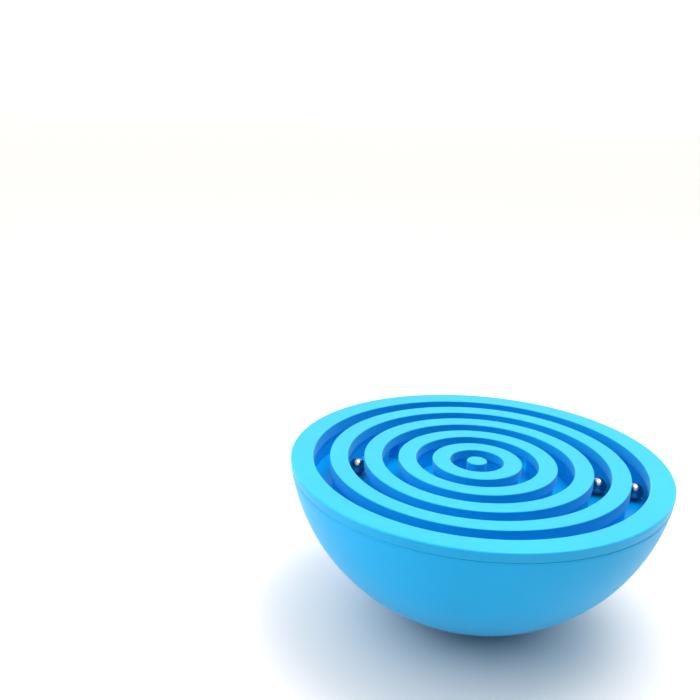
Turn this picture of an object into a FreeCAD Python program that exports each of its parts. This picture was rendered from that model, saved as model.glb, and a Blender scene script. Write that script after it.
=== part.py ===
import FreeCAD, Part
import math
import os

# Labyrinth bowl.  Sizes are in millimetres; it stands on its small foot at z = 0, Z up.
# A half-ball shell carries a round tray with low ring walls.  A flat ring cap sits on
# each wall and overhangs it, so the balls roll in channels that narrow to a mouth.
# Each ring wall has one doorway under its unbroken cap.

# Balls: radius, and for each ball its channel (3 lies outside ring 3) and its angle.
ball_radius = 2.38
ball_floor_gap = 0.05
ball_places = [(3, 169.2), (3, -4.3), (4, -7.0)]

# Plan sizes of the caps, from the middle outwards.
post_radius = 2.85
mouth_squeeze = 0.16         # channel mouth short of a ball's diameter, to keep balls in
ring_width = 5.05
ring_count = 4
rim_width = 6.25

# Shell.
shell_thickness = 1.8
shell_bulge = 0.7            # sphere radius beyond the rim radius
centre_above_top = 7.8       # sphere centre above the top of the middle post
foot_radius = 5.3
seat_width = 2.3             # ledge inside the shell that carries the tray

# Heights.
cap_thickness = 2.65
wall_play = 0.64             # height of a wall beyond a ball's diameter
floor_thickness = 1.4
rim_lift = 1.4               # rise of the dished top from the middle to the rim
seam_below_rim = 2.75        # outside joint line below the rim's top edge

# Walls and doorways; ring 1 is the innermost.
cap_overhang = 0.8           # each cap reaches this far past its wall
doorway_play = 1.0           # width of a doorway beyond a ball's diameter
doorway_angles = [270.0, 36.0, 145.0, 90.0]

# Pegs on the walls, in blind sockets under the caps.
peg_radius = 0.9
peg_clearance = 0.06
peg_share = 0.6              # share of the cap's thickness
socket_share = 0.7
pegs_per_ring = [4, 6, 8, 10]

# Fits and edge roundings.
tray_clearance = 0.12
skirt_clearance = 0.15
cap_edge = 0.2
rim_edge = 0.5
seam_edge = 0.22

# Dependent sizes.
ball_diameter = 2 * ball_radius
channel_width = ball_diameter - mouth_squeeze
doorway_width = ball_diameter + doorway_play
wall_height = ball_diameter + wall_play
peg_length = peg_share * cap_thickness
socket_depth = socket_share * cap_thickness
rim_inner = post_radius + (ring_count + 1) * channel_width + ring_count * ring_width
rim_radius = rim_inner + rim_width
sphere_radius = rim_radius + shell_bulge
inner_sphere = sphere_radius - shell_thickness
centre_height = math.sqrt(sphere_radius ** 2 - foot_radius ** 2)
top_level = centre_height - centre_above_top
cap_base = top_level - cap_thickness
floor_level = cap_base - wall_height
floor_base = floor_level - floor_thickness
rim_top = top_level + rim_lift
seam_level = rim_top - seam_below_rim

ORIGIN = FreeCAD.Vector(0, 0, 0)
UP = FreeCAD.Vector(0, 0, 1)
FULL_TURN = 360


def sphere_width(radius, height):
    """Radius, at a height, of a sphere about the shell's centre."""
    return math.sqrt(radius ** 2 - (centre_height - height) ** 2)


tray_radius = sphere_width(inner_sphere, floor_base) - tray_clearance
skirt_radius = sphere_width(inner_sphere, cap_base) - skirt_clearance
outer_wall_inner = rim_inner + cap_overhang


def top_height(radius):
    """Height of the shallow dished top at a radius."""
    return top_level + rim_lift * (radius / rim_radius) ** 2


def ring_inner(index):
    """Inner radius of cap number index, where 0 is the innermost."""
    return post_radius + (index + 1) * channel_width + index * ring_width


def rounded_corner(before, corner, after, rounding):
    """Start, middle and end of the arc that rounds one corner of an outline."""
    to_before = (before - corner).normalize()
    to_after = (after - corner).normalize()
    half_angle = to_before.getAngle(to_after) / 2
    reach = rounding / math.tan(half_angle)
    bisector = (to_before + to_after).normalize()
    centre = corner + bisector * (rounding / math.sin(half_angle))
    return corner + to_before * reach, centre - bisector * rounding, corner + to_after * reach


def revolved(edges):
    """Solid of revolution about Z from the edges of a closed outline in the XZ plane."""
    face = Part.Face(Part.Wire(edges))
    return face.revolve(ORIGIN, UP, FULL_TURN)


def turned(corners):
    """Solid of revolution from (radius, height, rounding) corners; rounding may be 0."""
    points = [FreeCAD.Vector(radius, 0, height) for radius, height, rounding in corners]
    starts = list(points)
    ends = list(points)
    middles = {}
    for index, corner in enumerate(corners):
        if corner[2] > 0:
            after = points[(index + 1) % len(points)]
            arc = rounded_corner(points[index - 1], points[index], after, corner[2])
            starts[index], middles[index], ends[index] = arc
    edges = []
    for index in range(len(points)):
        if index in middles:
            edges.append(Part.Arc(starts[index], middles[index], ends[index]).toShape())
        following = starts[(index + 1) % len(points)]
        edges.append(Part.LineSegment(ends[index], following).toShape())
    return revolved(edges)


def sphere_arc(radius, first_height, last_height):
    """Arc on a sphere about the shell's centre, between two heights, in the XZ plane."""
    heights = [first_height, (first_height + last_height) / 2, last_height]
    points = [FreeCAD.Vector(sphere_width(radius, height), 0, height) for height in heights]
    return Part.Arc(points[0], points[1], points[2]).toShape()


def around(solid, angle):
    """Copy of a solid turned about Z."""
    copy = solid.copy()
    copy.rotate(ORIGIN, UP, angle)
    return copy


def upright_circle(index, radius, low, height):
    """Upright cylinders on a wall's middle line, with the doorway midway between two."""
    track = ring_inner(index) + ring_width / 2
    upright = Part.makeCylinder(radius, height, FreeCAD.Vector(track, 0, low))
    step = FULL_TURN / pegs_per_ring[index]
    start = doorway_angles[index] + step / 2
    return [around(upright, start + number * step) for number in range(pegs_per_ring[index])]


def make_shell():
    """Half-ball shell with a small flat foot and a ledge that carries the tray."""
    edge_level = seam_level - seam_edge
    edge_radius = sphere_width(sphere_radius, edge_level)
    edge_drop = seam_edge * (1 - math.sqrt(0.5))
    edge_start = FreeCAD.Vector(edge_radius, 0, edge_level)
    edge_middle = FreeCAD.Vector(edge_radius - edge_drop, 0, seam_level - edge_drop)
    edge_end = FreeCAD.Vector(edge_radius - seam_edge, 0, seam_level)
    inner_top = FreeCAD.Vector(sphere_width(inner_sphere, seam_level), 0, seam_level)
    inner_bottom = centre_height - inner_sphere
    seat_low = floor_base - seat_width
    seat_back = FreeCAD.Vector(sphere_width(inner_sphere, floor_base), 0, floor_base)
    seat_front = FreeCAD.Vector(seat_back.x - seat_width, 0, floor_base)
    seat_root = FreeCAD.Vector(sphere_width(inner_sphere, seat_low), 0, seat_low)
    return revolved([
        Part.LineSegment(ORIGIN, FreeCAD.Vector(foot_radius, 0, 0)).toShape(),
        sphere_arc(sphere_radius, 0, edge_level),
        Part.Arc(edge_start, edge_middle, edge_end).toShape(),
        Part.LineSegment(edge_end, inner_top).toShape(),
        sphere_arc(inner_sphere, seam_level, floor_base),
        Part.LineSegment(seat_back, seat_front).toShape(),
        Part.LineSegment(seat_front, seat_root).toShape(),
        sphere_arc(inner_sphere, seat_low, inner_bottom),
        Part.LineSegment(FreeCAD.Vector(0, 0, inner_bottom), ORIGIN).toShape(),
    ])


def make_tray_floor():
    """Flat disc that closes the channels from below."""
    return Part.makeCylinder(tray_radius, floor_thickness, FreeCAD.Vector(0, 0, floor_base))


def make_tray_wall(index):
    """Low ring wall with one doorway, and pegs on top for its cap."""
    inner = ring_inner(index) + cap_overhang
    outer = ring_inner(index) + ring_width - cap_overhang
    wall = turned([(inner, floor_level, 0), (outer, floor_level, 0),
                   (outer, cap_base, 0), (inner, cap_base, 0)])
    doorway = Part.makeBox(ring_width, doorway_width, wall_height,
                           FreeCAD.Vector(ring_inner(index), -doorway_width / 2, floor_level))
    wall = wall.cut(around(doorway, doorway_angles[index]))
    return wall.fuse(upright_circle(index, peg_radius, cap_base, peg_length)).removeSplitter()


def make_ring_cap(index):
    """Unbroken ring that roofs a wall, with blind sockets underneath."""
    inner = ring_inner(index)
    outer = inner + ring_width
    ring = turned([(inner, cap_base, 0), (outer, cap_base, 0),
                   (outer, top_height(outer), cap_edge), (inner, top_height(inner), cap_edge)])
    sockets = upright_circle(index, peg_radius + peg_clearance, cap_base, socket_depth)
    return ring.cut(Part.makeCompound(sockets))


def make_tray_outer_wall():
    """Plain wall round the outermost channel, under the rim."""
    return turned([(outer_wall_inner, floor_level, 0), (tray_radius, floor_level, 0),
                   (tray_radius, cap_base, 0), (outer_wall_inner, cap_base, 0)])


def make_rim():
    """Broad rim that closes the shell, with a skirt that drops inside the shell."""
    seam_radius = sphere_width(sphere_radius, seam_level)
    top_radius = sphere_width(sphere_radius, rim_top)
    return turned([(rim_inner, cap_base, 0), (skirt_radius, cap_base, 0),
                   (skirt_radius, seam_level, 0), (seam_radius, seam_level, seam_edge),
                   (top_radius, rim_top, rim_edge), (rim_inner, top_height(rim_inner), cap_edge)])


def make_tray_stud():
    """Short middle stud under the post cap, with a peg on top."""
    stud = Part.makeCylinder(post_radius - cap_overhang, wall_height,
                             FreeCAD.Vector(0, 0, floor_level))
    peg = Part.makeCylinder(peg_radius, peg_length, FreeCAD.Vector(0, 0, cap_base))
    return stud.fuse(peg).removeSplitter()


def make_post_cap():
    """Round button on the middle stud, with a blind socket underneath."""
    button = turned([(0, cap_base, 0), (post_radius, cap_base, 0),
                     (post_radius, top_level, cap_edge), (0, top_level, 0)])
    return button.cut(Part.makeCylinder(peg_radius + peg_clearance, socket_depth,
                                        FreeCAD.Vector(0, 0, cap_base)))


def make_ball(channel, angle):
    """Steel ball in the middle of its channel."""
    outer_side = rim_inner if channel == ring_count else ring_inner(channel)
    track = outer_side - channel_width / 2
    height = floor_level + ball_floor_gap + ball_radius
    return around(Part.makeSphere(ball_radius, FreeCAD.Vector(track, 0, height)), angle)


parts = {
    "shell": make_shell(),
    "tray_floor": make_tray_floor(),
    "tray_outer_wall": make_tray_outer_wall(),
    "tray_stud": make_tray_stud(),
    "post_cap": make_post_cap(),
    "rim": make_rim(),
}
for ring in range(ring_count):
    parts["tray_wall_%d" % (ring + 1)] = make_tray_wall(ring)
    parts["ring_cap_%d" % (ring + 1)] = make_ring_cap(ring)
for number, (channel, angle) in enumerate(ball_places):
    parts["ball_%d" % (number + 1)] = make_ball(channel, angle)

os.makedirs("parts", exist_ok=True)
for name, shape in parts.items():
    shape.exportStep("parts/%s.step" % name)
    print("%-16s solids %d, valid %s, volume %.1f, low %.3f, high %.3f" % (
        name, len(shape.Solids), shape.isValid(), shape.Volume,
        shape.BoundBox.ZMin, shape.BoundBox.ZMax))
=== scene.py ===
import logging
import math
from dataclasses import dataclass
from enum import Enum
from typing import Any

import bmesh
import bpy
from mathutils import Euler, Matrix, Vector


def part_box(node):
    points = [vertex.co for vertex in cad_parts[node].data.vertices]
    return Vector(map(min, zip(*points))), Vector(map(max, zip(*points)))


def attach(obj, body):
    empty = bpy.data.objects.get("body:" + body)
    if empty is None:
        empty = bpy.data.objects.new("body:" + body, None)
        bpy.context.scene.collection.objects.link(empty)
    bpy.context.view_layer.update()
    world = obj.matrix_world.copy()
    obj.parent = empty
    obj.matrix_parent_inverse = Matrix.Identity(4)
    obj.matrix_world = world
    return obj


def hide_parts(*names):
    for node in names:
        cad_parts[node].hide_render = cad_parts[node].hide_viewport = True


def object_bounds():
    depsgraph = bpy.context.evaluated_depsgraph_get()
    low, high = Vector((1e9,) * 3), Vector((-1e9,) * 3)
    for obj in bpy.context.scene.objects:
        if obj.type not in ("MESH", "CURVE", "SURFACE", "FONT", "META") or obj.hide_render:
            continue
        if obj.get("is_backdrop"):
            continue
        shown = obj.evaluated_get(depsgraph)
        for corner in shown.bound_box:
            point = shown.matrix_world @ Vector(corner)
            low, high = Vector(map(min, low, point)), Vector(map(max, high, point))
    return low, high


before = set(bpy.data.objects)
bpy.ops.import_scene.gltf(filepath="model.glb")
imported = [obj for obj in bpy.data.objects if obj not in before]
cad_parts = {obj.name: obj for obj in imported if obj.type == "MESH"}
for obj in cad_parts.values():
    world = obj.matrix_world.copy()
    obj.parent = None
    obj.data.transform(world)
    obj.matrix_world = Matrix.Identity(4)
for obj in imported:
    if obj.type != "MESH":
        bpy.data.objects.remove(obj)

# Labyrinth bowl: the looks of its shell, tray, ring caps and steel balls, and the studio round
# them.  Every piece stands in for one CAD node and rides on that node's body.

LOG = logging.getLogger("labyrinth_bowl")
MM = 0.001
WELD_MM = 0.001                      # points of a finished mesh nearer than this are made one
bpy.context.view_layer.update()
FULL_TURN = 2 * math.pi
NOISE_LOW, NOISE_HIGH = 0.3, 0.7     # where nearly all of a noise texture's values lie
COLOUR_A, COLOUR_B = 6, 7            # the Mix node's colour inputs, by number
COLOUR_OUT = 2                       # and its colour output

Corner = tuple[float, float, float]          # radius, height, rounding, all in mm
ProfilePoint = tuple[float, float, float]    # radius in mm, height in mm, share of painted edge highlight and wear from 0 to 1


# ---------------------------------------------------------------- small helpers

def linear(hex_colour: str) -> tuple[float, float, float, float]:
    """Turn an sRGB hex colour into linear RGBA.

    Args:
        hex_colour: Six hex digits after a hash sign.

    Returns:
        The colour as four linear numbers.
    """
    channels = [int(hex_colour[start:start + 2], 16) / 255 for start in (1, 3, 5)]
    red, green, blue = [c / 12.92 if c <= 0.04045 else ((c + 0.055) / 1.055) ** 2.4
                        for c in channels]
    return (red, green, blue, 1.0)


def add_node(tree: bpy.types.NodeTree, kind: str, inputs: dict[Any, Any] | None = None,
             **settings: Any) -> bpy.types.Node:
    """Add one node with its settings, values and links.

    Args:
        tree: The node tree that takes the node.
        kind: Blender's name of the node type.
        inputs: Socket name or number to a plain value, or to the output socket it is linked from.
        **settings: Attributes set on the node itself.

    Returns:
        The new node.
    """
    node = tree.nodes.new(kind)
    for name, value in settings.items():
        setattr(node, name, value)
    for key, value in (inputs or {}).items():
        if isinstance(value, bpy.types.NodeSocket):
            tree.links.new(value, node.inputs[key])
        else:
            node.inputs[key].default_value = value
    return node


def blank_material(name: str) -> tuple[bpy.types.Material, bpy.types.NodeTree, bpy.types.Node]:
    """Make an empty node material with its output.

    Args:
        name: The real material and how its surface is made.

    Returns:
        The material, its tree, and its output node.
    """
    material = bpy.data.materials.new(name)
    material.use_nodes = True
    tree = material.node_tree
    tree.nodes.clear()
    return material, tree, add_node(tree, "ShaderNodeOutputMaterial")


def object_place(tree: bpy.types.NodeTree) -> bpy.types.NodeSocket:
    """Give the Object coordinates of a material's tree."""
    return add_node(tree, "ShaderNodeTexCoord").outputs["Object"]


# ---------------------------------------------------------------- finishes

@dataclass(frozen=True)
class MouldedPlastic:
    """ABS moulded in a spark-eroded tool: an even satin that glows a little where light gets in.

    The eye gets a matt sheen that breaks up on the grain, paler lips where an edge highlight is
    painted in, and a slow drift of colour from the melt's flow, so that broad faces aren't one flat
    blue.
    """

    name: str
    colour: str
    painted_edge_highlight: str              # painted highlight: the paler colour that rounded edges are drawn in, as if catching light
    roughness: float
    haze: float              # pale bloom that the fine texture gives at a low angle
    grain_mm: float          # the real grain is about 0.05 mm; drawn coarser so that it shows
    grain_depth_mm: float
    scuff_mm: float = 9.0    # length of the faint handling marks
    scuff_slimness: float = 14.0
    scuff_turn: tuple[float, float, float] = (0.3, 0.5, 0.7)    # radians; so no mark follows an axis
    scuff_band: tuple[float, float] = (0.60, 0.78)    # only the noise's peaks leave a mark
    scuff_polish: float = 0.10     # roughness taken off by a handling mark
    flow_mm: float = 26.0    # slow drift of colour left by the melt's flow
    flow_share: float = 0.03       # that drift's share of the brightness, either way
    highlight_and_wear_band: tuple[float, float] = (0.25, 0.9)      # the least and most of the painted edge highlight and wear along an edge
    wear_polish: float = 0.08      # roughness taken off a worn edge
    grain_spread: float = 0.05     # the grain's share of the roughness, either way
    refraction: float = 1.53       # ABS
    gloss: float = 0.38            # weaker than a clean polish: the fine texture scatters it
    glow: float = 0.15             # share of the light that goes in and comes out again
    glow_reach: tuple[float, float, float] = (0.2, 0.7, 1.0)
    glow_mm: float = 1.2

    def material(self) -> bpy.types.Material:
        """Build the plastic's material.

        Returns:
            A node material on Object coordinates and the piece's painted edge highlight and wear
            attribute.
        """
        material, tree, output = blank_material(self.name)
        place = object_place(tree)
        flow = add_node(tree, "ShaderNodeTexNoise", {
            "Vector": place, "Scale": 1 / (self.flow_mm * MM), "Detail": 2.0, "Roughness": 0.5})
        grain = add_node(tree, "ShaderNodeTexNoise", {
            "Vector": place, "Scale": 1 / (self.grain_mm * MM), "Detail": 2.0, "Roughness": 0.6})
        stretched = add_node(tree, "ShaderNodeMapping", {
            "Vector": place, "Rotation": self.scuff_turn,
            "Scale": (1.0, self.scuff_slimness, self.scuff_slimness)})
        scuffs = add_node(tree, "ShaderNodeTexNoise", {
            "Vector": stretched.outputs["Vector"], "Scale": 1 / (self.scuff_mm * MM),
            "Detail": 4.0, "Roughness": 0.65})
        scuff_mask = add_node(tree, "ShaderNodeMapRange", {
            "Value": scuffs.outputs["Fac"], "From Min": self.scuff_band[0],
            "From Max": self.scuff_band[1]})
        # Rounded edges get a painted highlight here; the same mask also takes some roughness off as
        # wear.
        edge_highlight_and_wear = add_node(tree, "ShaderNodeAttribute", attribute_name="edge_highlight_and_wear",
                       attribute_type="GEOMETRY").outputs["Fac"]
        highlight_and_wear_spread = add_node(tree, "ShaderNodeMapRange", {
            "Value": flow.outputs["Fac"], "From Min": NOISE_LOW, "From Max": NOISE_HIGH,
            "To Min": self.highlight_and_wear_band[0], "To Max": self.highlight_and_wear_band[1]})
        highlighted_and_worn = add_node(tree, "ShaderNodeMath", {0: edge_highlight_and_wear, 1: highlight_and_wear_spread.outputs["Result"]},
                        operation="MULTIPLY")
        drift = add_node(tree, "ShaderNodeMapRange", {
            "Value": flow.outputs["Fac"], "From Min": NOISE_LOW, "From Max": NOISE_HIGH,
            "To Min": 1 - self.flow_share, "To Max": 1 + self.flow_share})
        tinted = add_node(tree, "ShaderNodeHueSaturation", {
            "Color": linear(self.colour), "Value": drift.outputs["Result"]})
        # Painted highlight: along the rounded edges the colour goes over to the paler edge colour.
        colour = add_node(tree, "ShaderNodeMix", {
            "Factor": highlighted_and_worn.outputs["Value"], COLOUR_A: tinted.outputs["Color"],
            COLOUR_B: linear(self.painted_edge_highlight)}, data_type="RGBA")
        rough_base = add_node(tree, "ShaderNodeMapRange", {
            "Value": grain.outputs["Fac"], "To Min": self.roughness - self.grain_spread,
            "To Max": self.roughness + self.grain_spread})
        rough_scuffed = add_node(tree, "ShaderNodeMath", {
            0: scuff_mask.outputs["Result"], 1: -self.scuff_polish,
            2: rough_base.outputs["Result"]},
            operation="MULTIPLY_ADD")
        rough = add_node(tree, "ShaderNodeMath", {
            0: highlighted_and_worn.outputs["Value"], 1: -self.wear_polish, 2: rough_scuffed.outputs["Value"]},
            operation="MULTIPLY_ADD", use_clamp=True)
        relief = add_node(tree, "ShaderNodeBump", {
            "Height": grain.outputs["Fac"], "Strength": 0.5,
            "Distance": self.grain_depth_mm * MM})
        shader = add_node(tree, "ShaderNodeBsdfPrincipled", {
            "Base Color": colour.outputs[COLOUR_OUT], "Roughness": rough.outputs["Value"],
            "Normal": relief.outputs["Normal"], "IOR": self.refraction,
            "Specular IOR Level": self.gloss, "Sheen Weight": self.haze, "Sheen Roughness": 0.45,
            "Subsurface Weight": self.glow, "Subsurface Radius": self.glow_reach,
            "Subsurface Scale": self.glow_mm * MM})
        tree.links.new(shader.outputs["BSDF"], output.inputs["Surface"])
        return material


@dataclass(frozen=True)
class PolishedSteel:
    """Bearing steel, hardened and lapped: a dark clear mirror with faint handling smears."""

    name: str
    colour: str
    roughness: float
    smear_mm: float
    smear_dulling: float = 0.10    # roughness that the heaviest smear adds
    lapping_mm: float = 0.002      # depth of the unevenness that lapping leaves

    def material(self) -> bpy.types.Material:
        """Build the steel's material.

        Returns:
            A node material on Object coordinates.
        """
        material, tree, output = blank_material(self.name)
        place = object_place(tree)
        smear = add_node(tree, "ShaderNodeTexNoise", {
            "Vector": place, "Scale": 1 / (self.smear_mm * MM), "Detail": 3.0})
        rough = add_node(tree, "ShaderNodeMapRange", {
            "Value": smear.outputs["Fac"], "From Min": NOISE_LOW, "From Max": NOISE_HIGH,
            "To Min": self.roughness, "To Max": self.roughness + self.smear_dulling})
        relief = add_node(tree, "ShaderNodeBump", {
            "Height": smear.outputs["Fac"], "Strength": 0.15,
            "Distance": self.lapping_mm * MM})
        shader = add_node(tree, "ShaderNodeBsdfPrincipled", {
            "Base Color": linear(self.colour), "Metallic": 1.0,
            "Roughness": rough.outputs["Result"], "Normal": relief.outputs["Normal"]})
        tree.links.new(shader.outputs["BSDF"], output.inputs["Surface"])
        return material


@dataclass(frozen=True)
class PaperSweep:
    """Coated white paper: a pale floor with only a trace of unevenness."""

    name: str
    colour: str
    fibre_mm: float = 3.0
    roughness: tuple[float, float] = (0.55, 0.65)

    def material(self) -> bpy.types.Material:
        """Build the floor's material.

        Returns:
            A node material on Object coordinates.
        """
        material, tree, output = blank_material(self.name)
        place = object_place(tree)
        fibre = add_node(tree, "ShaderNodeTexNoise", {
            "Vector": place, "Scale": 1 / (self.fibre_mm * MM), "Detail": 2.0})
        rough = add_node(tree, "ShaderNodeMapRange", {
            "Value": fibre.outputs["Fac"], "To Min": self.roughness[0],
            "To Max": self.roughness[1]})
        shader = add_node(tree, "ShaderNodeBsdfPrincipled", {
            "Base Color": linear(self.colour), "Roughness": rough.outputs["Result"]})
        tree.links.new(shader.outputs["BSDF"], output.inputs["Surface"])
        return material


class Finish(Enum):
    """The finishes that the bowl uses."""

    # Name, colour, painted edge highlight colour, roughness, haze, grain size and grain depth in mm.
    # One blue plastic throughout: the caps' touch of red is a painted sheen for their pale tops, and
    # the tray's lighter blue is painted light in the shaded channels.
    CAPS = MouldedPlastic("ABS_moulded_satin_caps", "#0CB7EC", "#3CC8F4", 0.42, 0.21, 0.45, 0.010)
    SHELL = MouldedPlastic("ABS_moulded_satin_shell", "#00B8EF", "#30C6F4", 0.40, 0.10, 0.45, 0.010)
    TRAY = MouldedPlastic("ABS_moulded_satin_tray", "#00C3F7", "#2CC8F6", 0.32, 0.0, 0.40, 0.008)
    # Name, colour, roughness and smear size in mm.
    STEEL = PolishedSteel("bearing_steel_lapped", "#AEB0B3", 0.09, 1.8)
    FLOOR = PaperSweep("coated_paper_plain", "#F8EFEB")


class FinishShelf:
    """Makes each finish once and hands out its material."""

    def __init__(self) -> None:
        """Start with nothing made."""
        self._made: dict[Finish, bpy.types.Material] = {}

    def get(self, finish: Finish) -> bpy.types.Material:
        """Give the material of a finish, making it at first use.

        Args:
            finish: The finish wanted.

        Returns:
            Its material.
        """
        if finish not in self._made:
            self._made[finish] = finish.value.material()
        return self._made[finish]


# ---------------------------------------------------------------- outlines

def rounded_outline(corners: list[Corner], arc_steps: int = 5,
                    holding_mm: float = 0.12) -> list[ProfilePoint]:
    """Round an outline's corners and mark the rounded stretches for painted highlight and wear.

    Args:
        corners: Corners in order, each with its rounding, which may be 0.
        arc_steps: Steps along each rounded corner.
        holding_mm: Distance of the extra point that keeps each flat beside a corner flat.

    Returns:
        The outline's points with their share of painted edge highlight and wear.
    """
    outline: list[ProfilePoint] = []
    for index, (radius, height, rounding) in enumerate(corners):
        here = Vector((radius, height))
        before = (Vector(corners[index - 1][:2]) - here).normalized()
        after = (Vector(corners[(index + 1) % len(corners)][:2]) - here).normalized()
        if rounding <= 0:
            points = [here + before * holding_mm, here, here + after * holding_mm]
            outline.extend((p.x, p.y, 0.0) for p in points if p.x >= 0)
            continue
        half = before.angle(after) / 2
        reach = rounding / math.tan(half)
        centre = here + (before + after).normalized() * (rounding / math.sin(half))
        start = here + before * reach - centre
        end = here + after * reach - centre
        turn = start.angle_signed(end)
        outline.append((*(centre + start + before * holding_mm), 0.0))
        for step in range(arc_steps + 1):
            spoke = start.copy()
            spoke.rotate(Matrix.Rotation(-turn * step / arc_steps, 2))
            point = centre + spoke
            # share of painted edge highlight and wear, strongest at the middle of the arc
            edge_highlight_and_wear = math.sin(math.pi * (step + 0.5) / (arc_steps + 1))
            outline.append((point.x, point.y, edge_highlight_and_wear))
        outline.append((*(centre + end + after * holding_mm), 0.0))
    return outline


def sphere_points(radius: float, centre: float, first: float, last: float,
                  steps: int) -> list[ProfilePoint]:
    """Points on a sphere about the bowl's axis, evenly spaced by angle.

    Args:
        radius: The sphere's radius in mm.
        centre: Height of its centre in mm.
        first: Height of the first point in mm.
        last: Height of the last point in mm.
        steps: Number of steps.

    Returns:
        The points, with no painted highlight and no wear.
    """
    start, end = [math.acos(max(-1.0, min(1.0, (centre - height) / radius)))
                  for height in (first, last)]
    points = []
    for step in range(steps + 1):
        angle = start + (end - start) * step / steps
        points.append((radius * math.sin(angle), centre - radius * math.cos(angle), 0.0))
    return points


# ---------------------------------------------------------------- turned pieces

class Lathe:
    """One Geometry Nodes tree that turns an outline about the bowl's axis."""

    TRACK = 1.0            # radius in metres of the circle that the outline is carried round
    WELD_MM = 0.002        # turned points nearer than this are made one, as on the axis
    FULL_SEGMENTS = 256    # steps round the full turn of a large piece
    SMALL_SEGMENTS = 96    # and of the middle stud and its button

    def __init__(self) -> None:
        """Build the tree."""
        tree = bpy.data.node_groups.new("turned_about_axis", "GeometryNodeTree")
        face = tree.interface
        face.new_socket("Outline", in_out="INPUT", socket_type="NodeSocketGeometry")
        segments = face.new_socket("Segments", in_out="INPUT", socket_type="NodeSocketInt")
        finish = face.new_socket("Finish", in_out="INPUT", socket_type="NodeSocketMaterial")
        face.new_socket("Turned piece", in_out="OUTPUT", socket_type="NodeSocketGeometry")
        self.segments_id = segments.identifier
        self.finish_id = finish.identifier
        given = add_node(tree, "NodeGroupInput")
        outline = add_node(tree, "GeometryNodeMeshToCurve", {"Mesh": given.outputs["Outline"]})
        circle = add_node(tree, "GeometryNodeCurvePrimitiveCircle", {
            "Resolution": given.outputs["Segments"], "Radius": self.TRACK})
        swept = add_node(tree, "GeometryNodeCurveToMesh", {
            "Curve": circle.outputs["Curve"], "Profile Curve": outline.outputs["Curve"]})
        closed = add_node(tree, "GeometryNodeMergeByDistance", {
            "Geometry": swept.outputs["Mesh"], "Distance": self.WELD_MM * MM})
        smooth = add_node(tree, "GeometryNodeSetShadeSmooth", {
            "Geometry": closed.outputs["Geometry"]})
        real = add_node(tree, "GeometryNodeRealizeInstances", {
            "Geometry": smooth.outputs["Geometry"]})
        dressed = add_node(tree, "GeometryNodeSetMaterial", {
            "Geometry": real.outputs["Geometry"], "Material": given.outputs["Finish"]})
        add_node(tree, "NodeGroupOutput", {0: dressed.outputs["Geometry"]})
        self.tree = tree

    def turn(self, name: str, outline: list[ProfilePoint], finish: bpy.types.Material,
             segments: int = FULL_SEGMENTS, closed: bool = True) -> bpy.types.Object:
        """Turn an outline into a finished piece.

        Args:
            name: The piece's name.
            outline: Points in mm with their share of painted edge highlight and wear.
            finish: The piece's material.
            segments: Steps round the full turn.
            closed: Whether the outline's last point joins its first.

        Returns:
            The piece, a plain mesh object at the origin.
        """
        flat = bpy.data.meshes.new(name + "_outline")
        count = len(outline)
        edges = [(i, (i + 1) % count) for i in range(count if closed else count - 1)]
        # The outline is carried with its first axis outwards from the track and its second down.
        flat.from_pydata([(r * MM - self.TRACK, -z * MM, 0) for r, z, _ in outline], edges, [])
        # each point's share of painted edge highlight and wear, handed on to the material
        edge_highlight_and_wear = flat.attributes.new("edge_highlight_and_wear", "FLOAT", "POINT")
        for value, point in zip(edge_highlight_and_wear.data, outline):
            value.value = point[2]
        holder = bpy.data.objects.new(name + "_holder", flat)
        bpy.context.scene.collection.objects.link(holder)
        modifier = holder.modifiers.new("turn", "NODES")
        modifier.node_group = self.tree
        modifier[self.segments_id] = segments
        modifier[self.finish_id] = finish
        graph = bpy.context.evaluated_depsgraph_get()
        mesh = bpy.data.meshes.new_from_object(holder.evaluated_get(graph))
        holder.modifiers.remove(modifier)
        bpy.data.objects.remove(holder)
        return finished_piece(name, mesh, finish)


def finished_piece(name: str, mesh: bpy.types.Mesh,
                   finish: bpy.types.Material) -> bpy.types.Object:
    """Close a mesh, turn its faces outwards and make it an object at the origin.

    Args:
        name: The piece's name.
        mesh: Its mesh, in metres in the bowl's frame.
        finish: Its material.

    Returns:
        The linked object.
    """
    work = bmesh.new()
    work.from_mesh(mesh)
    bmesh.ops.remove_doubles(work, verts=work.verts, dist=WELD_MM * MM)
    bmesh.ops.recalc_face_normals(work, faces=work.faces)
    for face in work.faces:
        face.smooth = True
    work.to_mesh(mesh)
    work.free()
    mesh.name = name
    mesh.materials.clear()
    mesh.materials.append(finish)
    piece = bpy.data.objects.new(name, mesh)
    bpy.context.scene.collection.objects.link(piece)
    return piece


def box_mm(node: str) -> tuple[float, float, float]:
    """Measure a turned CAD node.

    Args:
        node: The CAD node's name.

    Returns:
        Its outer radius, low height and high height in mm.
    """
    low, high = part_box(node)
    return high.x / MM, low.z / MM, high.z / MM


def place_on_body(piece: bpy.types.Object, body: str, node: str) -> bpy.types.Object:
    """Let a piece ride on a body in place of a CAD node.

    Args:
        piece: The finished piece.
        body: The CAD body that carries it.
        node: The CAD node that it stands for.

    Returns:
        The same piece.
    """
    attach(piece, body)
    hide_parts(node)
    LOG.info("%s: %d faces on %s, for %s", piece.name, len(piece.data.polygons), body, node)
    return piece


# ---------------------------------------------------------------- sub-assemblies

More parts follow.
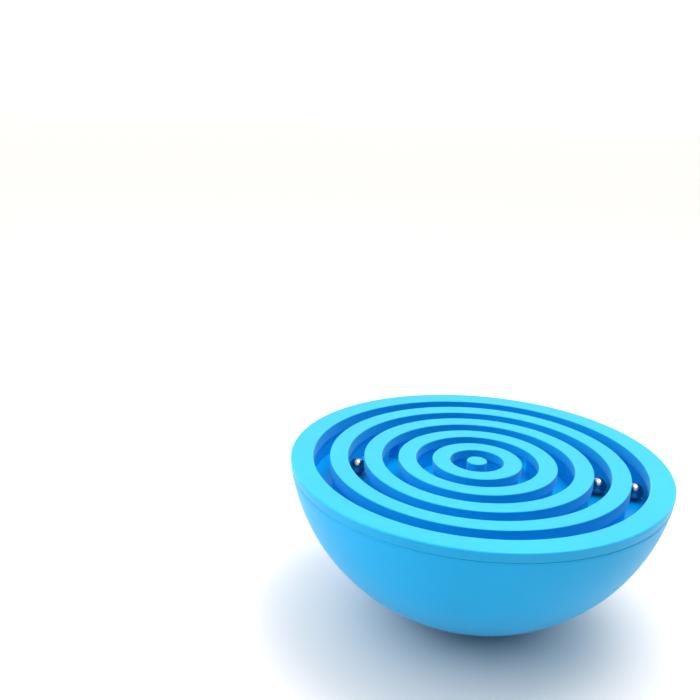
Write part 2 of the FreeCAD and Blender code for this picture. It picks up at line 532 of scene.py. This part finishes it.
@dataclass
class Plan:
    """The sizes in mm that the sub-assemblies share, with heights from the CAD boxes."""

    post_radius: float = 2.85
    channel: float = 4.6
    ring: float = 5.05
    rings: int = 4
    rim: float = 6.25
    overhang: float = 0.8
    bulge: float = 0.7
    shell: float = 1.8
    foot: float = 5.3
    lip: float = 0.26        # rounding of the upper edges beside the channels

    def __post_init__(self) -> None:
        """Read the levels from the CAD boxes and work out what follows from them."""
        _, self.cap_base, self.top = box_mm("post_cap")
        self.floor = box_mm("tray_floor")[2]
        self.rim_inner = self.ring_inner(self.rings)
        self.rim_radius = self.rim_inner + self.rim
        self.sphere = self.rim_radius + self.bulge
        self.inner_sphere = self.sphere - self.shell
        self.centre = math.sqrt(self.sphere ** 2 - self.foot ** 2)
        self.lift = box_mm("rim")[2] - self.top

    def ring_inner(self, index: int) -> float:
        """Inner radius of a ring cap, counted from 0 at the middle."""
        return self.post_radius + (index + 1) * self.channel + index * self.ring

    def top_at(self, radius: float) -> float:
        """Height of the dished top at a radius."""
        return self.top + self.lift * (radius / self.rim_radius) ** 2


@dataclass
class Shell:
    """The half-ball shell: round outside, hollow inside, with a seat for the tray."""

    plan: Plan
    seat: float = 2.3
    edge: float = 0.27
    edge_steps: int = 4
    # painted highlight and wear on the rounded lip at the seam
    lip_highlight_and_wear: float = 0.8
    gate: float = 1.2        # radius of the moulding gate's mark under the foot
    gate_depth: float = 0.12
    foot_flat: float = 0.3   # how far inside the foot's edge its last flat point lies
    # painted highlight and wear on the foot's edge
    foot_highlight_and_wear: float = 0.3
    top_flat: float = 0.2    # the same beside the inner edge of the shell's top
    outside_steps: int = 72
    ledge_steps: int = 10
    inside_steps: int = 48

    def build(self, lathe: Lathe, shelf: FinishShelf) -> bpy.types.Object:
        """Turn the shell and put it in place of its CAD node.

        Args:
            lathe: The turning tree.
            shelf: The finishes.

        Returns:
            The shell.
        """
        sphere = self.plan.sphere
        inner = self.plan.inner_sphere
        centre = self.plan.centre
        seam = box_mm("shell")[2]
        seat_top = box_mm("tray_floor")[1]
        outside = sphere_points(sphere, centre, 0.0, seam - self.edge, self.outside_steps)
        edge_radius = outside[-1][0]
        rounded = []
        for step in range(1, self.edge_steps + 1):
            angle = math.pi / 2 * step / self.edge_steps
            rounded.append((edge_radius - self.edge * (1 - math.cos(angle)),
                            seam - self.edge * (1 - math.sin(angle)), self.lip_highlight_and_wear))
        seam_inner = math.sqrt(inner ** 2 - (centre - seam) ** 2)
        seat_back = math.sqrt(inner ** 2 - (centre - seat_top) ** 2)
        outline = [(0.0, self.gate_depth, 0.0), (self.gate, self.gate_depth, 0.0),
                   (self.gate + self.gate_depth, 0.0, 0.0),
                   (self.plan.foot - self.foot_flat, 0.0, self.foot_highlight_and_wear)]
        outline += outside + rounded
        outline.append((seam_inner + self.top_flat, seam, 0.0))
        outline += sphere_points(inner, centre, seam, seat_top, self.ledge_steps)
        outline.append((seat_back - self.seat, seat_top, 0.0))
        outline += sphere_points(inner, centre, seat_top - self.seat, centre - inner,
                                 self.inside_steps)
        piece = lathe.turn("shell_moulding", outline, shelf.get(Finish.SHELL), closed=False)
        return place_on_body(piece, "bowl", "shell")


@dataclass
class Rim:
    """The broad rim with its softly rounded outer edge and the skirt below it."""

    plan: Plan
    edge: float = 0.5
    seam_edge: float = 0.22
    skirt_gap: float = 0.15

    def build(self, lathe: Lathe, shelf: FinishShelf) -> bpy.types.Object:
        """Turn the rim and put it in place of its CAD node.

        Args:
            lathe: The turning tree.
            shelf: The finishes.

        Returns:
            The rim.
        """
        outer, base, _ = box_mm("rim")
        seam_radius, _, seam = box_mm("shell")
        inner = self.plan.inner_sphere
        skirt = math.sqrt(inner ** 2 - (self.plan.centre - base) ** 2) - self.skirt_gap
        rim_top = self.plan.top_at(self.plan.rim_radius)
        corners = [(self.plan.rim_inner, base, 0.0), (skirt, base, 0.0), (skirt, seam, 0.0),
                   (seam_radius, seam, self.seam_edge), (outer, rim_top, self.edge),
                   (self.plan.rim_inner, self.plan.top_at(self.plan.rim_inner), self.plan.lip)]
        piece = lathe.turn("rim_moulding", rounded_outline(corners), shelf.get(Finish.CAPS))
        return place_on_body(piece, "bowl", "rim")


@dataclass
class Caps:
    """The four unbroken ring caps and the round button in the middle."""

    plan: Plan

    def build(self, lathe: Lathe, shelf: FinishShelf) -> list[bpy.types.Object]:
        """Turn every cap and put it in place of its CAD node.

        Args:
            lathe: The turning tree.
            shelf: The finishes.

        Returns:
            The caps, from the middle outwards.
        """
        finish = shelf.get(Finish.CAPS)
        base = self.plan.cap_base
        # The slice drops the first and last holding points, which lie across the open side.
        button = [(0.0, base, 0.0)] + rounded_outline([
            (self.plan.post_radius, base, 0.0),
            (self.plan.post_radius, self.plan.top, self.plan.lip),
            (0.0, self.plan.top, 0.0)])[1:-1]
        made = [place_on_body(lathe.turn("post_button", button, finish,
                                         lathe.SMALL_SEGMENTS, closed=False),
                              "bowl", "post_cap")]
        for index in range(self.plan.rings):
            inner = self.plan.ring_inner(index)
            outer = inner + self.plan.ring
            corners = [(inner, base, 0.0), (outer, base, 0.0),
                       (outer, self.plan.top_at(outer), self.plan.lip),
                       (inner, self.plan.top_at(inner), self.plan.lip)]
            name = f"ring_cap_{index + 1}"
            piece = lathe.turn(f"{name}_moulding", rounded_outline(corners), finish)
            made.append(place_on_body(piece, "bowl", name))
        return made


@dataclass
class Tray:
    """The tray under the caps: a flat floor, low walls with doorways, and a middle stud."""

    plan: Plan
    doorway: float = 5.76
    doorway_angles: tuple[float, ...] = (270.0, 36.0, 145.0, 90.0)
    jamb: float = 0.3        # rounding of the doorways' upright edges
    jamb_steps: int = 4
    wall_steps: int = 220
    floor_rings: tuple[float, ...] = (0.99, 0.75, 0.5, 0.25, 0.0)    # shares of its radius
    sharp_degrees: float = 50.0

    def build(self, lathe: Lathe, shelf: FinishShelf) -> list[bpy.types.Object]:
        """Make the tray's parts and put each in place of its CAD node.

        Args:
            lathe: The turning tree.
            shelf: The finishes.

        Returns:
            The tray's parts.
        """
        finish = shelf.get(Finish.TRAY)
        low, high = self.plan.floor, self.plan.cap_base
        radius, floor_base, floor_top = box_mm("tray_floor")
        disc = [(0.0, floor_base, 0.0), (radius, floor_base, 0.0), (radius, floor_top, 0.0)]
        disc += [(radius * share, floor_top, 0.0) for share in self.floor_rings]
        stud_radius = self.plan.post_radius - self.plan.overhang
        stud = [(0.0, low, 0.0), (stud_radius, low, 0.0), (stud_radius, high, 0.0),
                (0.0, high, 0.0)]
        side = self.plan.rim_inner + self.plan.overhang
        side_corners = [(side, low, 0.0), (radius, low, 0.0), (radius, high, 0.0),
                        (side, high, 0.0)]
        made = [
            self._seat(lathe.turn("tray_floor_moulding", disc, finish, closed=False),
                       "tray_floor"),
            self._seat(lathe.turn("tray_stud_moulding", stud, finish, lathe.SMALL_SEGMENTS,
                                  closed=False), "tray_stud"),
            self._seat(lathe.turn("tray_side_moulding", rounded_outline(side_corners), finish),
                       "tray_outer_wall"),
        ]
        for index, angle in enumerate(self.doorway_angles):
            wall = self._wall(index, math.radians(angle), low, high, finish)
            made.append(self._seat(wall, f"tray_wall_{index + 1}"))
        return made

    def _seat(self, piece: bpy.types.Object, node: str) -> bpy.types.Object:
        """Put one part of the tray in place of its CAD node."""
        return place_on_body(piece, "bowl", node)

    def _wall(self, index: int, doorway_angle: float, low: float, high: float,
              finish: bpy.types.Material) -> bpy.types.Object:
        """Sweep a low wall round the axis from one side of its doorway to the other.

        Args:
            index: The ring's number, 0 at the middle.
            doorway_angle: Angle of the doorway's middle, in radians.
            low: Height of the floor in mm.
            high: Height of the wall's top in mm.
            finish: The tray's material.

        Returns:
            The wall, with parallel rounded jambs.
        """
        inner = self.plan.ring_inner(index) + self.plan.overhang
        outer = self.plan.ring_inner(index) + self.plan.ring - self.plan.overhang
        corners = [(inner, low), (outer, low), (outer, high), (inner, high)]
        work = bmesh.new()
        columns = []
        for step in range(self.wall_steps + 1):
            share = step / self.wall_steps
            column = []
            for radius, height in corners:
                start = math.asin(self.doorway / 2 / radius)
                angle = doorway_angle + start + share * (FULL_TURN - 2 * start)
                column.append(work.verts.new((radius * MM * math.cos(angle),
                                              radius * MM * math.sin(angle), height * MM)))
            columns.append(column)
        for before, after in zip(columns, columns[1:]):
            for row in range(len(corners)):
                following = (row + 1) % len(corners)
                work.faces.new((before[row], before[following], after[following], after[row]))
        work.faces.new(columns[0])
        work.faces.new(list(reversed(columns[-1])))
        upright = [work.edges.get((column[a], column[b])) for column in (columns[0], columns[-1])
                   for a, b in ((1, 2), (3, 0))]
        bmesh.ops.bevel(work, geom=upright, offset=self.jamb * MM, segments=self.jamb_steps,
                        profile=0.5, affect="EDGES")
        mesh = bpy.data.meshes.new("wall")
        work.to_mesh(mesh)
        work.free()
        piece = finished_piece(f"tray_wall_{index + 1}_moulding", mesh, finish)
        sharp_by_angle(piece, math.radians(self.sharp_degrees))
        return piece


def sharp_by_angle(piece: bpy.types.Object, limit: float) -> None:
    """Mark edges sharper than a limit, so that flat faces beside them shade flat.

    Args:
        piece: The piece to mark.
        limit: The angle in radians.
    """
    work = bmesh.new()
    work.from_mesh(piece.data)
    for edge in work.edges:
        if len(edge.link_faces) == 2 and edge.calc_face_angle(0.0) > limit:
            edge.smooth = False
    work.to_mesh(piece.data)
    work.free()


@dataclass
class Balls:
    """The three steel balls, each on a body of its own."""

    count: int = 3
    fineness: int = 5        # subdivisions of the icosphere

    def build(self, shelf: FinishShelf) -> list[bpy.types.Object]:
        """Make each ball where its CAD node lies.

        Args:
            shelf: The finishes.

        Returns:
            The balls.
        """
        made = []
        for number in range(1, self.count + 1):
            node = f"ball_{number}"
            low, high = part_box(node)
            work = bmesh.new()
            bmesh.ops.create_icosphere(work, subdivisions=self.fineness,
                                       radius=(high.z - low.z) / 2,
                                       matrix=Matrix.Translation((low + high) / 2))
            mesh = bpy.data.meshes.new(node)
            work.to_mesh(mesh)
            work.free()
            piece = finished_piece(f"{node}_steel", mesh, shelf.get(Finish.STEEL))
            made.append(place_on_body(piece, node, node))
        return made


# ---------------------------------------------------------------- studio

@dataclass
class Softbox:
    """One soft lamp: a square panel that looks at the bowl."""

    name: str
    place: tuple[float, float, float]    # metres
    size: float                          # metres
    power: float                         # watts
    colour: str = "#FFFFFF"

    def build(self, target: Vector) -> None:
        """Add the lamp.

        Args:
            target: The point that it is aimed at, in metres.
        """
        data = bpy.data.lights.new(self.name, "AREA")
        data.size = self.size
        data.energy = self.power
        data.color = linear(self.colour)[:3]
        lamp = bpy.data.objects.new(self.name, data)
        lamp.location = self.place
        lamp.rotation_euler = (target - Vector(self.place)).to_track_quat("-Z", "Y").to_euler()
        bpy.context.scene.collection.objects.link(lamp)


@dataclass
class Studio:
    """Floor, lamps, white surround and camera."""

    lens: float = 41.17
    contrast: float = 0.8     # display gamma: below 1 deepens the shadows and the blue
    camera_place: tuple[float, float, float] = (-38.534, -208.124, 91.408)    # mm from post's top
    camera_tilt: float = 73.8878    # degrees up from straight down
    camera_roll: float = -1.6989    # degrees, about the bowl's front-to-back axis
    nearest: float = 0.01     # metres from the camera at which anything shows
    floor_half: float = 20.0  # metres, so that the floor's far edge looks like a horizon
    bright_side: tuple[float, float, float] = (-0.12, 0.44, 0.89)   # up and to the back
    dim: float = 0.04         # the room's brightness low down in front
    bright: float = 1.28      # and overhead and behind
    fade: tuple[float, float] = (-0.05, 0.45)    # where it turns from dim to bright
    lamps: tuple[Softbox, ...] = (
        Softbox("key_overhead", (0.13, 0.06, 0.55), 0.36, 1.4),
        Softbox("fill_from_left", (-0.50, -0.10, 0.28), 0.40, 0.7),
    )

    def build(self, shelf: FinishShelf) -> None:
        """Set up everything round the bowl.

        Args:
            shelf: The finishes.
        """
        scene = bpy.context.scene
        scene.view_settings.view_transform = "Standard"
        scene.view_settings.gamma = self.contrast
        self._floor(shelf)
        self._surround(scene)
        low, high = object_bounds()
        for lamp in self.lamps:
            lamp.build((low + high) / 2)
        self._camera(scene)

    def _floor(self, shelf: FinishShelf) -> None:
        """Lay the pale floor under the foot.

        Args:
            shelf: The finishes.
        """
        half = self.floor_half
        mesh = bpy.data.meshes.new("floor")
        mesh.from_pydata([(-half, -half, 0), (half, -half, 0), (half, half, 0), (-half, half, 0)],
                         [], [(0, 1, 2, 3)])
        mesh.materials.append(shelf.get(Finish.FLOOR))
        floor = bpy.data.objects.new("floor", mesh)
        bpy.context.scene.collection.objects.link(floor)
        floor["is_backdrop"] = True

    def _surround(self, scene: bpy.types.Scene) -> None:
        """Fill the room with white light that is strongest from above and behind.

        Args:
            scene: The scene that takes the room.
        """
        world = bpy.data.worlds.new("white_room")
        world.use_nodes = True
        tree = world.node_tree
        tree.nodes.clear()
        toward = add_node(tree, "ShaderNodeVectorMath", {
            0: add_node(tree, "ShaderNodeTexCoord").outputs["Generated"],
            1: self.bright_side}, operation="DOT_PRODUCT")
        level = add_node(tree, "ShaderNodeMapRange", {
            "Value": toward.outputs["Value"], "From Min": self.fade[0], "From Max": self.fade[1],
            "To Min": self.dim, "To Max": self.bright}, interpolation_type="SMOOTHSTEP")
        glow = add_node(tree, "ShaderNodeBackground", {
            "Color": linear("#FFFFFF"), "Strength": level.outputs["Result"]})
        add_node(tree, "ShaderNodeOutputWorld", {"Surface": glow.outputs["Background"]})
        scene.world = world

    def _camera(self, scene: bpy.types.Scene) -> None:
        """Put the camera where it looks down into the channels from the front.

        Args:
            scene: The scene that takes the camera.
        """
        data = bpy.data.cameras.new("camera")
        data.lens = self.lens
        data.clip_start = self.nearest
        camera = bpy.data.objects.new("camera", data)
        top = Vector((0, 0, box_mm("post_cap")[2]))
        turn = Euler((math.radians(self.camera_tilt), math.radians(self.camera_roll), 0.0))
        place = (Vector(self.camera_place) + top) * MM
        camera.matrix_world = Matrix.Translation(place) @ turn.to_matrix().to_4x4()
        scene.collection.objects.link(camera)
        scene.camera = camera


def main() -> None:
    """Build the bowl from the shell upwards, then the studio."""
    logging.basicConfig(level=logging.INFO, format="%(message)s")
    plan = Plan()
    lathe = Lathe()
    shelf = FinishShelf()
    Shell(plan).build(lathe, shelf)
    Tray(plan).build(lathe, shelf)
    Caps(plan).build(lathe, shelf)
    Rim(plan).build(lathe, shelf)
    Balls().build(shelf)
    Studio().build(shelf)


if __name__ == "__main__":
    main()
